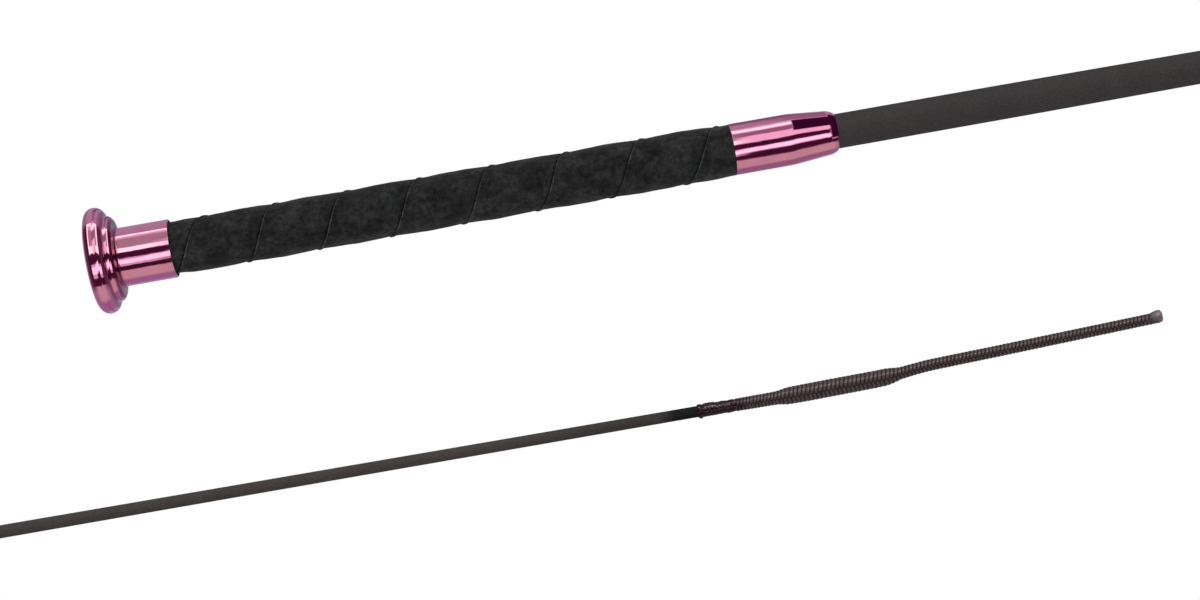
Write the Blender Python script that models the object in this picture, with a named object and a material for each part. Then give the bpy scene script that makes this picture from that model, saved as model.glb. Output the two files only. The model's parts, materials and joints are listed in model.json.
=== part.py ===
"""Dressage riding crop: a turned metal cap, a suede-wound handle with a metal ferrule, a tapered fibreglass
rod in a woven cover, and a braided cord lash bound to the rod's tip.

The crop lies along +X. The origin is the centre of the cap's flat end face, +X points to the lash and +Z
is up. Lengths are in metres. Bodies of revolution are drawn as outlines of (x, radius) points and spun
about X. The lash is a chain of short rigid links, each on an empty that stands on its hinge.
"""

import math

import bmesh
import bpy
from mathutils import Vector

MM = 0.001

# Driving dimensions: overall
OVERALL_LENGTH = 1200.0 * MM
HANDLE_GAP = 0.3 * MM
FINE_GAP = 0.15 * MM

# Cap: a big ring bead, a small bead and a straight collar
CAP_RING_SECTION_R = 3.0 * MM
CAP_RING_CENTRE_R = 12.0 * MM
CAP_BEAD_X = 6.1 * MM
CAP_BEAD_SECTION_R = 2.2 * MM
CAP_BEAD_CENTRE_R = 10.15 * MM
COLLAR_START = 9.1 * MM
COLLAR_END = 23.5 * MM
COLLAR_R = 8.36 * MM
COLLAR_RECESS_R = 7.95 * MM
COLLAR_RECESS_DEPTH = 2.7 * MM
CAP_BORE_BOTTOM = 4.0 * MM

# Handle build-up over the rod
SLEEVE_R = 5.9 * MM
SLEEVE_END = 199.0 * MM
BORE_R = SLEEVE_R + HANDLE_GAP
PADDING_R = 6.45 * MM
STRIP_INNER_R = PADDING_R + HANDLE_GAP
STRIP_OUTER_R = 7.65 * MM
STRIP_PITCH = 21.1 * MM
STRIP_SEAM_AT_TOP = 34.2 * MM
GRIP_END = 183.9 * MM

# Ferrule
FERRULE_START = 184.3 * MM
FERRULE_TAPER_START = 201.8 * MM
FERRULE_NOSE_START = 211.8 * MM
FERRULE_END = 214.6 * MM
FERRULE_R = 7.39 * MM
FERRULE_NOSE_R = 6.4 * MM
FERRULE_EDGE = 0.25 * MM

# Shaft: outside radius of the woven cover at its stations
SHAFT_R_AT_HANDLE = 4.88 * MM
SHAFT_STATIONS = (
    (250.0 * MM, SHAFT_R_AT_HANDLE),
    (330.0 * MM, 4.62 * MM),
    (863.0 * MM, 1.80 * MM),
)
SHAFT_R_AT_TIP = 1.53 * MM
COVER_WALL = 0.3 * MM
COVER_START = 10.0 * MM
MOUTH_R = SHAFT_R_AT_HANDLE + HANDLE_GAP

# Tip of the rod, binding and lash root
BINDING_START = 1065.6 * MM
BINDING_END = 1075.7 * MM
BINDING_INNER_R = 1.50 * MM
BINDING_OUTER_R = 1.80 * MM
BINDING_BUMP_R = 1.92 * MM
ROD_UNDER_LASH_R = 0.95 * MM
ROD_SPIGOT_R = 0.65 * MM
ROD_SPIGOT_START = 1082.8 * MM
ROD_END = 1086.0 * MM
TIP_CAP_R = 0.95 * MM
TIP_CAP_END = 1087.0 * MM
LASH_BORE_R = ROD_UNDER_LASH_R + FINE_GAP
LASH_UNDER_BINDING_R = 1.35 * MM
LASH_ROOT_R = 1.86 * MM

# Lash links: hinge places along the cord, radii and the upward set of each link at rest. The tail leaves the
# thick part above its middle, by the tail's rise
THICK_START = 1089.3 * MM
THICK_LENGTH = 34.7 * MM
THICK_R = 2.45 * MM
THICK_RAMP_UP = 4.0 * MM
THICK_RAMP_DOWN = 7.0 * MM
TAIL_R = 1.62 * MM
TAIL_END_R = 1.50 * MM
TAIL_LINKS = 3
FUSED_LENGTH = 4.2 * MM
FUSED_R = 1.78 * MM
NOSE_R_THICK = 1.4 * MM
NOSE_R_TAIL = 1.2 * MM
NOSE_LENGTH = 1.3 * MM
THICK_CORE_R = 1.25 * MM
TAIL_CORE_R = 0.75 * MM
CORE_START = 2.5 * MM
THICK_SET_DEG = 0.9
TAIL_SET_DEG = (0.9, 0.25, 0.15)
TAIL_RISE = 1.0 * MM

# Facets round each body
METAL_SIDES = 32
HANDLE_SIDES = 24
LASH_SIDES = 16


def clear_scene():
    for item in list(bpy.data.objects):
        bpy.data.objects.remove(item, do_unlink=True)


def finish(name, colour, roughness, metallic=0.0):
    """A Principled material."""
    material = bpy.data.materials.new(name)
    material.use_nodes = True
    shader = material.node_tree.nodes["Principled BSDF"]
    shader.inputs["Base Color"].default_value = (*colour, 1.0)
    shader.inputs["Roughness"].default_value = roughness
    shader.inputs["Metallic"].default_value = metallic
    return material


def make_finishes():
    return {
        "anodised": finish("anodised_pink_aluminium", (0.62, 0.14, 0.30), 0.18, 1.0),
        "suede": finish("black_suede", (0.018, 0.019, 0.018), 0.95),
        "foam": finish("grey_foam", (0.20, 0.20, 0.21), 0.9),
        "sleeve": finish("natural_plastic_sleeve", (0.55, 0.52, 0.45), 0.5),
        "fibreglass": finish("pale_fibreglass", (0.70, 0.68, 0.55), 0.35),
        "cover": finish("dark_woven_cover", (0.048, 0.042, 0.042), 0.7),
        "brass": finish("brass", (0.70, 0.50, 0.20), 0.3, 1.0),
        "thread": finish("lacquered_thread", (0.020, 0.006, 0.010), 0.2),
        "cord": finish("braided_cord", (0.062, 0.045, 0.047), 0.75),
        "core": finish("core_yarn", (0.30, 0.26, 0.26), 0.85),
        "melted": finish("melted_cord", (0.14, 0.10, 0.11), 0.45),
    }


def arc(centre_x, centre_r, radius, start_deg, end_deg, steps, stretch=1.0):
    """Points of an arc in the (x, radius) plane: 0 degrees is +X, 90 is outwards; stretch widens it along x."""
    points = []
    for i in range(steps + 1):
        angle = math.radians(start_deg + (end_deg - start_deg) * i / steps)
        x = centre_x + stretch * radius * math.cos(angle)
        points.append((x, centre_r + radius * math.sin(angle)))
    return points


def add_object(name, mesh, material, parent=None):
    mesh.materials.append(material)
    mesh.shade_smooth()
    mesh.set_sharp_from_angle(angle=math.radians(35))
    item = bpy.data.objects.new(name, mesh)
    bpy.context.scene.collection.objects.link(item)
    item.parent = parent
    return item


def turned(name, outline, material, sides, parent=None):
    """A body turned about its own X axis. The outline starts and ends on the axis, or closes on itself."""
    bm = bmesh.new()
    verts = [bm.verts.new((x, 0.0, r)) for x, r in outline]
    edges = [bm.edges.new(pair) for pair in zip(verts, verts[1:])]
    if outline[0][1] > 0.0:
        edges.append(bm.edges.new((verts[-1], verts[0])))
    bmesh.ops.spin(
        bm,
        geom=verts + edges,
        cent=(0.0, 0.0, 0.0),
        axis=(1.0, 0.0, 0.0),
        angle=math.tau,
        steps=sides,
        use_merge=True,
    )
    bmesh.ops.remove_doubles(bm, verts=bm.verts, dist=1e-6)
    bmesh.ops.recalc_face_normals(bm, faces=bm.faces)
    mesh = bpy.data.meshes.new(name)
    bm.to_mesh(mesh)
    bm.free()
    return add_object(name, mesh, material, parent)


def tube(start, end, inner_r, outer_r):
    """Outline of a plain tube."""
    return [(start, outer_r), (end, outer_r), (end, inner_r), (start, inner_r)]


def end_cap_outline():
    ring = arc(CAP_RING_SECTION_R, CAP_RING_CENTRE_R, CAP_RING_SECTION_R, 180, 8, 9)
    bead = arc(CAP_BEAD_X, CAP_BEAD_CENTRE_R, CAP_BEAD_SECTION_R, 84, 6, 5)
    recess_start = COLLAR_END - COLLAR_RECESS_DEPTH
    collar = [(COLLAR_START, COLLAR_R), (COLLAR_END, COLLAR_R)]
    inside = [
        (COLLAR_END, COLLAR_RECESS_R),
        (recess_start, COLLAR_RECESS_R),
        (recess_start, BORE_R),
        (CAP_BORE_BOTTOM, BORE_R),
        (CAP_BORE_BOTTOM, 0.0),
    ]
    return [(0.0, 0.0)] + ring + bead + collar + inside


def ferrule_outline():
    nose_height = FERRULE_NOSE_R - MOUTH_R
    stretch = (FERRULE_END - FERRULE_NOSE_START) / nose_height
    nose = arc(FERRULE_NOSE_START, MOUTH_R, nose_height, 90, 0, 5, stretch)
    outside = [
        (FERRULE_START, FERRULE_R - FERRULE_EDGE),
        (FERRULE_START + FERRULE_EDGE, FERRULE_R),
        (FERRULE_TAPER_START, FERRULE_R),
    ]
    inside = [
        (FERRULE_NOSE_START, MOUTH_R),
        (SLEEVE_END + 5.0 * MM, MOUTH_R),
        (SLEEVE_END + 1.0 * MM, BORE_R),
        (FERRULE_START, BORE_R),
    ]
    return outside + nose + inside


def wound_strip(name, material):
    """One strip wound left-handed round the padding, each turn butting on the next with a small gap."""
    start = COLLAR_END - COLLAR_RECESS_DEPTH + HANDLE_GAP
    narrowest = 0.4 * MM
    half_gap = HANDLE_GAP / 2
    # The turn angle is 0 at the front (-Y) and 90 degrees at the top (+Z)
    first = (start - STRIP_SEAM_AT_TOP) / STRIP_PITCH * 360.0 + 90.0
    last = (GRIP_END - STRIP_SEAM_AT_TOP) / STRIP_PITCH * 360.0 + 450.0
    steps = round((last - first) / 360.0 * HANDLE_SIDES)
    bm = bmesh.new()
    rings = []
    for i in range(steps + 1):
        turn = first + (last - first) * i / steps
        tip_edge = STRIP_SEAM_AT_TOP + (turn - 90.0) / 360.0 * STRIP_PITCH - half_gap
        cap_edge = tip_edge - STRIP_PITCH + 2 * half_gap
        tip_edge = min(max(tip_edge, start + narrowest), GRIP_END)
        cap_edge = max(min(cap_edge, GRIP_END - narrowest), start)
        angle = math.radians(turn)
        across = Vector((0.0, -math.cos(angle), math.sin(angle)))
        ring = []
        for x, r in (
            (cap_edge, STRIP_INNER_R),
            (cap_edge, STRIP_OUTER_R),
            (tip_edge, STRIP_OUTER_R),
            (tip_edge, STRIP_INNER_R),
        ):
            ring.append(bm.verts.new(Vector((x, 0.0, 0.0)) + across * r))
        rings.append(ring)
    for here, there in zip(rings, rings[1:]):
        for k in range(4):
            bm.faces.new((here[k], here[(k + 1) % 4], there[(k + 1) % 4], there[k]))
    bm.faces.new(rings[0])
    bm.faces.new(rings[-1])
    bmesh.ops.recalc_face_normals(bm, faces=bm.faces)
    mesh = bpy.data.meshes.new(name)
    bm.to_mesh(mesh)
    bm.free()
    return add_object(name, mesh, material)


def shaft_outline(start, end, end_r, shrink):
    """Stations of the shaft's outside, taken in by shrink, from start to end."""
    points = [(start, SHAFT_R_AT_HANDLE - shrink)]
    points += [(x, r - shrink) for x, r in SHAFT_STATIONS]
    points.append((end, end_r - shrink))
    return points


def make_handle(finishes):
    rod_start = CAP_BORE_BOTTOM + HANDLE_GAP
    turned("end_cap", end_cap_outline(), finishes["anodised"], METAL_SIDES)
    sleeve = tube(rod_start, SLEEVE_END, MOUTH_R, SLEEVE_R)
    turned("handle_sleeve", sleeve, finishes["sleeve"], HANDLE_SIDES)
    padding = tube(COLLAR_END + HANDLE_GAP, GRIP_END, SLEEVE_R + FINE_GAP, PADDING_R)
    turned("grip_padding", padding, finishes["foam"], HANDLE_SIDES)
    wound_strip("grip_strip", finishes["suede"])
    turned("ferrule", ferrule_outline(), finishes["anodised"], METAL_SIDES)


def make_shaft(finishes):
    rod_start = CAP_BORE_BOTTOM + HANDLE_GAP
    cover_end = BINDING_START - FINE_GAP
    outside = shaft_outline(COVER_START, cover_end, SHAFT_R_AT_TIP, 0.0)
    inside = shaft_outline(COVER_START, cover_end, SHAFT_R_AT_TIP, COVER_WALL)
    turned("shaft_cover", outside + inside[::-1], finishes["cover"], HANDLE_SIDES)
    rod = [(rod_start, 0.0)]
    rod += shaft_outline(rod_start, cover_end, SHAFT_R_AT_TIP, COVER_WALL + FINE_GAP)
    rod += [
        (cover_end, ROD_UNDER_LASH_R),
        (ROD_SPIGOT_START, ROD_UNDER_LASH_R),
        (ROD_SPIGOT_START, ROD_SPIGOT_R),
        (ROD_END, ROD_SPIGOT_R),
        (ROD_END, 0.0),
    ]
    turned("rod", rod, finishes["fibreglass"], HANDLE_SIDES)
    cap_start = ROD_SPIGOT_START + FINE_GAP
    cap_bore = ROD_SPIGOT_R + FINE_GAP
    cap_floor = ROD_END + FINE_GAP
    tip_cap = [
        (cap_floor, 0.0),
        (cap_floor, cap_bore),
        (cap_start, cap_bore),
        (cap_start, TIP_CAP_R),
        (cap_floor, TIP_CAP_R),
        (TIP_CAP_END, TIP_CAP_R - 0.4 * MM),
        (TIP_CAP_END, 0.0),
    ]
    turned("rod_tip_cap", tip_cap, finishes["brass"], LASH_SIDES)


def make_binding(finishes):
    bump = BINDING_START + 1.2 * MM
    edge = 0.3 * MM
    outline = [
        (BINDING_START, BINDING_INNER_R + 0.1 * MM),
        (BINDING_START + edge, BINDING_BUMP_R),
        (bump, BINDING_BUMP_R),
        (bump + edge, BINDING_OUTER_R),
        (BINDING_END - edge, BINDING_OUTER_R),
        (BINDING_END, BINDING_INNER_R + 0.1 * MM),
        (BINDING_END, BINDING_INNER_R),
        (BINDING_START, BINDING_INNER_R),
    ]
    turned("binding", outline, finishes["thread"], LASH_SIDES)


def make_lash_root(finishes):
    """The cord's hollow end, drawn over the rod's tip and bound on."""
    flare_start = BINDING_END + FINE_GAP
    end = THICK_START - NOSE_R_THICK - HANDLE_GAP
    outline = [
        (BINDING_START, LASH_UNDER_BINDING_R),
        (flare_start, LASH_UNDER_BINDING_R),
        (flare_start, LASH_ROOT_R - FINE_GAP),
        (flare_start + 0.5 * MM, LASH_ROOT_R),
        (end, LASH_ROOT_R),
        (end, LASH_BORE_R),
        (BINDING_START, LASH_BORE_R),
    ]
    turned("lash_root", outline, finishes["cord"], LASH_SIDES)


def hinge_empty(name, parent, distance, set_deg, rise=0.0):
    """An empty on a hinge, distance along its parent's X and rise above it, with the next link's upward set."""
    hinge = bpy.data.objects.new(name, None)
    hinge.empty_display_size = 5.0 * MM
    bpy.context.scene.collection.objects.link(hinge)
    hinge.parent = parent
    hinge.location = (distance, 0.0, rise)
    hinge.rotation_euler = (0.0, -math.radians(set_deg), 0.0)
    return hinge


def link_outline(nose_r, shoulders, length, bore_r):
    """A cord link from its rounded nose round the hinge at x = 0 to its open end at x = length."""
    nose = arc(0.0, 0.0, nose_r, 180, 90, 4)
    nose[0] = (-nose_r, 0.0)
    end_r = shoulders[-1][1]
    return nose + shoulders + [
        (length, end_r),
        (length, bore_r),
        (CORE_START - FINE_GAP, bore_r),
        (CORE_START - FINE_GAP, 0.0),
    ]


def make_link(name, hinge, nose_r, shoulders, length, core_r, finishes):
    """A braided link and the core yarns that fill it."""
    outline = link_outline(nose_r, shoulders, length, core_r + FINE_GAP)
    turned(name, outline, finishes["cord"], LASH_SIDES, hinge)
    core = [(CORE_START, 0.0), (CORE_START, core_r), (length, core_r), (length, 0.0)]
    turned(name + "_core", core, finishes["core"], LASH_SIDES, hinge)


def make_lash(finishes):
    make_lash_root(finishes)
    tail_gap = NOSE_R_TAIL + HANDLE_GAP
    link_length = (OVERALL_LENGTH - THICK_START - THICK_LENGTH) / TAIL_LINKS

    hinge = hinge_empty("lash_hinge_1", None, THICK_START, THICK_SET_DEG)
    length = THICK_LENGTH - tail_gap
    shoulders = [
        (NOSE_LENGTH, LASH_ROOT_R),
        (THICK_RAMP_UP, THICK_R),
        (THICK_LENGTH - THICK_RAMP_DOWN, THICK_R),
        (length - 0.5 * MM, TAIL_R + 0.1 * MM),
    ]
    make_link("lash_body", hinge, NOSE_R_THICK, shoulders, length, THICK_CORE_R, finishes)

    distance = THICK_LENGTH
    for i in range(TAIL_LINKS):
        rise = TAIL_RISE if i == 0 else 0.0
        hinge = hinge_empty(f"lash_hinge_{i + 2}", hinge, distance, TAIL_SET_DEG[i], rise)
        is_last = i == TAIL_LINKS - 1
        start_r = TAIL_R + (TAIL_END_R - TAIL_R) * i / TAIL_LINKS
        end_r = TAIL_R + (TAIL_END_R - TAIL_R) * (i + 1) / TAIL_LINKS
        length = link_length - (FUSED_LENGTH if is_last else tail_gap)
        shoulders = [(NOSE_LENGTH, start_r), (length - 0.5 * MM, end_r)]
        make_link(f"lash_tail_{i + 1}", hinge, NOSE_R_TAIL, shoulders, length, TAIL_CORE_R, finishes)
        distance = link_length

    fused_start = link_length - FUSED_LENGTH + FINE_GAP
    fused = [
        (fused_start, 0.0),
        (fused_start, TAIL_END_R),
        (link_length - 1.6 * MM, FUSED_R),
        (link_length - 0.4 * MM, FUSED_R),
        (link_length, FUSED_R - 0.4 * MM),
        (link_length, 0.0),
    ]
    turned("lash_fused_end", fused, finishes["melted"], LASH_SIDES, hinge)


def main():
    clear_scene()
    finishes = make_finishes()
    make_handle(finishes)
    make_shaft(finishes)
    make_binding(finishes)
    make_lash(finishes)
    bpy.context.view_layer.update()


main()
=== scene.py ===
"""The looks of a dressage riding crop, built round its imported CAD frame.

The crop lies along +X, from its cap's flat end at x = 0 to its braided lash's end at x = 1.2. Lengths are in
metres. Round the crop, an angle of 0 degrees faces the front (-Y) and 90 degrees faces up (+Z).

The visible pieces are built here as fine meshes: the turned metal, the wound suede strip, the woven shaft,
the thread binding and the cord, whose eight strands are braided one by one. The pieces inside stay as the CAD
made them. The camera sees the handle close by and, lower down, the same crop's thin end: see far_copy().
"""

import json
import math

import bmesh
import bpy
import numpy as np
from mathutils import Matrix, Vector

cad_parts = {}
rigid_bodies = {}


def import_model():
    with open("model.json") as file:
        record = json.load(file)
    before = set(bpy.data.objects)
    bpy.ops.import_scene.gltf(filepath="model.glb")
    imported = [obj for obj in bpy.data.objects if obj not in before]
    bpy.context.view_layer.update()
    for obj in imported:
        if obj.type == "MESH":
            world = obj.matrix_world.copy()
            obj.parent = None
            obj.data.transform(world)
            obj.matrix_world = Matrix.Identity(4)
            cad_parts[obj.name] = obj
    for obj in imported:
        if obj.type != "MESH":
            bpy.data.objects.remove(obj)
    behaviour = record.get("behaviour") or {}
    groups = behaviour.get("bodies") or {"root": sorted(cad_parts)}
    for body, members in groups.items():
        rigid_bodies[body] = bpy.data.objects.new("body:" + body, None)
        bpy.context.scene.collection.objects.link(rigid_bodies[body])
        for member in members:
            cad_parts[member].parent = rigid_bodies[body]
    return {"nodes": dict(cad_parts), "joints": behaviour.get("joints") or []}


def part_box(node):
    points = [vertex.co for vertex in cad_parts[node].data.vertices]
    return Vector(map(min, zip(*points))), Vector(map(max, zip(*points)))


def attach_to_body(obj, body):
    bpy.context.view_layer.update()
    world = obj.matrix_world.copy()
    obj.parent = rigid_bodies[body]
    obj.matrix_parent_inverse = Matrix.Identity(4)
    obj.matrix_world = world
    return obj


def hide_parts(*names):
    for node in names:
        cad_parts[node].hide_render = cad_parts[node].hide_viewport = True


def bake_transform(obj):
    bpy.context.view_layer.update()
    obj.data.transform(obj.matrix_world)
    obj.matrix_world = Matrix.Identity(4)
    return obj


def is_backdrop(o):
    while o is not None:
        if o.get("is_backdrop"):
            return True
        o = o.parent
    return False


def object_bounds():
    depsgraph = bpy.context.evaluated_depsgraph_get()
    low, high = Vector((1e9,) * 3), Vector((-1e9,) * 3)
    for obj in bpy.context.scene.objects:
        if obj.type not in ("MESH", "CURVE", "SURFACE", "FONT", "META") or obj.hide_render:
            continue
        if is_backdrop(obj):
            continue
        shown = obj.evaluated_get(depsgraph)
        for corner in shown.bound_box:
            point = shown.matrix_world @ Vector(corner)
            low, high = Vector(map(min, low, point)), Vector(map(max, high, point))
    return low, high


MM = 0.001
# The way that faces the camera in the photo's view
FRONT = np.array([0.0, -1.0, 0.0])


def in_mm(*pairs):
    """Pairs of millimetres as pairs of metres."""
    return tuple((a * MM, b * MM) for a, b in pairs)


# Turned metal
METAL_SIDES = 160
CAP_RING_SECTION_R = 2.75 * MM
CAP_RING_CENTRE_R = 12.43 * MM
CAP_BEAD_X = 5.5 * MM
CAP_BEAD_SECTION_R = 2.2 * MM
CAP_BEAD_CENTRE_R = 10.15 * MM
COLLAR_R = 8.36 * MM
COLLAR_FILLET = 0.6 * MM
COLLAR_SHORTER = 0.5 * MM
COLLAR_RECESS_R = 7.95 * MM
COLLAR_RECESS_DEPTH = 2.2 * MM
BORE_R = 6.2 * MM
CAP_BORE_BOTTOM = 4.0 * MM
CAP_FILLET_GAP = 0.3 * MM
METAL_EDGE = 0.2 * MM
FERRULE_NOSE_R = 6.4 * MM
FERRULE_NOSE_LENGTH = 3.0 * MM
# 1 is a plain oval; more is a fuller slope
NOSE_ROUNDNESS = 1.25
FERRULE_TAPER_LENGTH = 10.0 * MM
FERRULE_NOSE_STEEPEST_DEG = 84.0
# The straight part turns into the taper over a short round that starts a little before it
FERRULE_ROUND = 1.1 * MM
FERRULE_ROUND_BEFORE = 1.2 * MM
# Depths from the ferrule's end at which its mouth starts, widens and reaches the bore
FERRULE_MOUTH_R = 5.18 * MM
FERRULE_MOUTH_DEPTHS = (1.5 * MM, 10.6 * MM, 14.6 * MM)

# Suede strip
STRIP_PITCH = 21.1 * MM
STRIP_SEAM_AT_TOP = 33.1 * MM
STRIP_OVERLAP = 3.0 * MM
STRIP_LEVEL_R = 7.36 * MM
STRIP_INSIDE_R = 6.75 * MM
STRIP_STEPS_PER_TURN = 120
# The top, in turns from the front; and the turns that the strip is wound past each end of the grip
TOP_TURN = 0.25
STRIP_TURNS_BEFORE = 1.5
STRIP_TURNS_AFTER = 0.3
STRIP_WANDER = 1.7 * MM
STRIP_WANDER_TURNS = 7.0
STRIP_JITTER = 0.22 * MM
STRIP_FRAY = 0.05 * MM
STRIP_SWELL = 0.22
STRIP_LUMP = 0.035 * MM
STRIP_LEAST_WALL = 0.12 * MM
# The most that the inside gives way where the strip dips, and its deepest place under the plain inside
STRIP_INSIDE_DIP = 0.15 * MM
STRIP_INSIDE_LOWEST = 0.1 * MM
STRIP_START_DIP = 0.32 * MM
STRIP_START_DIP_LENGTH = 6.0 * MM
STRIP_END_DIP = 0.30 * MM
STRIP_END_DIP_LENGTH = 9.0 * MM
STRIP_TO_FERRULE = 0.03 * MM

# Height of the strip's outside over its level, by distance from its visible edge: the edge's lip,
# a dip behind it, the pillow of the turn, and the tail that goes under the next turn
STRIP_OUTSIDE = in_mm(
    (0.0, 0.18), (0.15, 0.40), (0.50, 0.37), (1.1, 0.12), (5.5, 0.27), (10.5, 0.40),
    (16.0, 0.30), (20.3, 0.08), (21.1, -0.02), (22.0, -0.22), (24.2, -0.30),
)
# Height of the strip's inside over the padding: it climbs over the tail of the turn before
STRIP_INSIDE = in_mm(
    (0.0, 0.50), (0.8, 0.40), (1.6, 0.24), (3.2, 0.20), (5.0, 0.0), (24.2, 0.0),
)

# The painted dark reflection on the ferrule's end: lengths from the end, the softness of its edge and how
# wavy it is
SHADE_LENGTH = 12.4 * MM
SHADE_EDGE = 0.40 * MM
SHADE_WAVE = 0.8 * MM
NOSE_SHADE_START = 2.1 * MM
NOSE_SHADE_FULL = 1.5 * MM

# Shaft
SHAFT_SIDES = 96
SHAFT_RINGS = 160
SHAFT_WALL = 0.3 * MM
YARNS_ROUND = 48.0
YARN_SPACING = 0.62 * MM
SHAFT_RADII = in_mm(
    (10.0, 4.88), (200.0, 4.88), (212.0, 4.98), (250.0, 4.98), (330.0, 4.72), (863.0, 1.88),
    (1065.45, 1.60),
)

# Binding
THREAD_PITCH = 0.42 * MM
BINDING_R = 1.81 * MM
BINDING_FLOOR_R = 1.63 * MM
BINDING_INSIDE_R = 1.615 * MM
BINDING_LAP = 0.7 * MM
BINDING_KNOT = 0.34 * MM
BINDING_KNOT_LENGTH = 1.3 * MM
BINDING_GROOVE = 0.24 * MM
GROOVE_X = 1.45 * MM
GROOVE_SIZE = 0.26 * MM
KNOT_X = 0.95 * MM
KNOT_SIZE = 0.7 * MM
KNOT_ANGLE = math.radians(272)
KNOT_SPREAD = math.radians(38)
SWELL_X = 3.2 * MM
SWELL_SIZE = 1.9 * MM
SWELL_ANGLE = math.radians(85)
BINDING_RIDGE = 0.035 * MM
BINDING_LUMP = 0.095 * MM
BINDING_END_ROUND = 0.45 * MM
BINDING_END_STEP = 0.12 * MM
BINDING_RINGS = 220
BINDING_SIDES = 64

# Braided cord
# Length of one turn of a strand, by distance from the first hinge: the braid is stretched over what it covers
BRAID_LAYS = in_mm(
    (-24.0, 3.96), (-3.0, 3.96), (2.5, 4.87), (29.5, 4.87), (36.0, 4.43), (111.0, 4.43),
)
STRANDS_EACH_WAY = 4
BRAID_STEPS_PER_TURN = 34
STRAND_SIDES = 12
STRAND_HALF_THICKNESS = 0.31 * MM
STRAND_WEAVE = 0.30 * MM
STRAND_COVER = 1.16
STRAND_UNEVEN = 0.02 * MM
BRAID_TURN = math.radians(-12)
WEAVE_SOFTNESS = 0.35
CORE_SIDES = 20
FILAMENT_SPACING = 0.14 * MM
CORD_OUTSIDE = in_mm(
    (-24.0, 1.50), (-14.2, 1.50), (-13.4, 1.90), (-1.6, 2.02), (2.0, 2.52), (8.0, 2.62),
    (29.5, 2.56), (32.0, 2.30), (34.6, 1.84), (40.0, 1.77), (111.0, 1.68),
)
CORD_RISE = 1.0 * MM
CORD_RISE_BEFORE = 8.0 * MM
CORD_RISE_AFTER = 10.0 * MM
PATH_STEPS = 1200
PATH_SMOOTHING = 24
PATH_BEFORE = 30.0 * MM
# Where the cord and its core start and stop
CORD_START_INSIDE = 2.0 * MM
CORD_END_INSIDE = 1.2 * MM
CORE_START_GAP = 0.2 * MM
CORE_END_INSIDE = 2.0 * MM

# Fused end
FUSED_LENGTH = 5.2 * MM
FUSED_SIDES = 48
FUSED_RINGS = 26
FUSED_R = 1.38 * MM
FUSED_CRINKLE = 0.04 * MM
FUSED_RIB = 0.03 * MM

# Studio
CAMERA_PLACE = Vector((0.1111, -0.6846, -0.0357))
CAMERA_TURN_DEG = 2.38
CAMERA_ROLL_DEG = 10.12
CAMERA_LENS_MM = 72.0
CAMERA_SENSOR_MM = 36.0
CAMERA_CLIP_END = 200.0
FLOOR_DROP = 0.20
KEY_STRENGTH = 4.0
KEY_SIZE_DEG = 10.0
KEY_HEIGHT_DEG = 50.0
KEY_TURN_DEG = 10.0
FLOOR_SIZE = 8.0
FLOOR_GREY = (0.86, 0.86, 0.86)

# The thin end in the picture: its slope, and where the binding's start stands before the camera
COPY_SLOPE_DEG = 9.785
COPY_RIGHT = 0.0285
COPY_UP = -0.0317
COPY_AHEAD = 0.6845
COPY_SCALE = 110.0
COPY_SCALE_PROPERTY = "copy_scale"


# ---------- Numbers and curves ----------


def curve(at, knots):
    """A smooth curve through the knots that never overshoots them, read at the places in at."""
    xs = np.array([k[0] for k in knots])
    ys = np.array([k[1] for k in knots])
    steps = np.diff(xs)
    slopes = np.diff(ys) / steps
    tangents = np.zeros(len(xs))
    same_way = slopes[:-1] * slopes[1:] > 0.0
    safe = np.where(same_way, slopes[:-1] + slopes[1:], 1.0)
    tangents[1:-1] = np.where(same_way, 2.0 * slopes[:-1] * slopes[1:] / safe, 0.0)
    tangents[0], tangents[-1] = slopes[0], slopes[-1]
    at = np.clip(np.asarray(at, float), xs[0], xs[-1])
    i = np.clip(np.searchsorted(xs, at) - 1, 0, len(steps) - 1)
    t = (at - xs[i]) / steps[i]
    rise = (ys[i + 1] - ys[i]) * (3 * t**2 - 2 * t**3)
    lean = steps[i] * (tangents[i] * (t**3 - 2 * t**2 + t) + tangents[i + 1] * (t**3 - t**2))
    return ys[i] + rise + lean


def smoothstep(value, low, high):
    t = np.clip((value - low) / (high - low), 0.0, 1.0)
    return t * t * (3.0 - 2.0 * t)


def ripple(at, seed, octaves=4):
    """A smooth irregular wave between about -1 and 1, the same each run."""
    random = np.random.default_rng(seed)
    total = np.zeros(np.shape(at))
    for i in range(octaves):
        frequency = (1.0 + 0.3 * random.random()) * 1.7**i
        total = total + np.sin(frequency * np.asarray(at) + random.random() * math.tau) / 1.4**i
    return total / 2.2


def round_angles(count):
    """Evenly spaced angles round a circle."""
    return np.linspace(0.0, math.tau, count, endpoint=False)


def arc(centre_x, centre_r, radius, start_deg, end_deg, steps):
    """Points of an arc in the (x, radius) plane: 0 degrees is +X, 90 is outwards."""
    angles = np.radians(np.linspace(start_deg, end_deg, steps + 1))
    return [(centre_x + radius * math.cos(a), centre_r + radius * math.sin(a)) for a in angles]


# ---------- Meshes ----------


def shell_faces(rows, columns, first, is_ring):
    """Faces of a skin over closed rows of points. The skin's ends are closed, or joined if it is a ring."""
    faces = []
    for i in range(rows if is_ring else rows - 1):
        here, there = first + i * columns, first + ((i + 1) % rows) * columns
        for k in range(columns):
            after = (k + 1) % columns
            faces.append((here + k, here + after, there + after, there + k))
    if not is_ring:
        faces.append(tuple(range(first, first + columns)))
        faces.append(tuple(range(first + (rows - 1) * columns, first + rows * columns)))
    return faces


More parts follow.
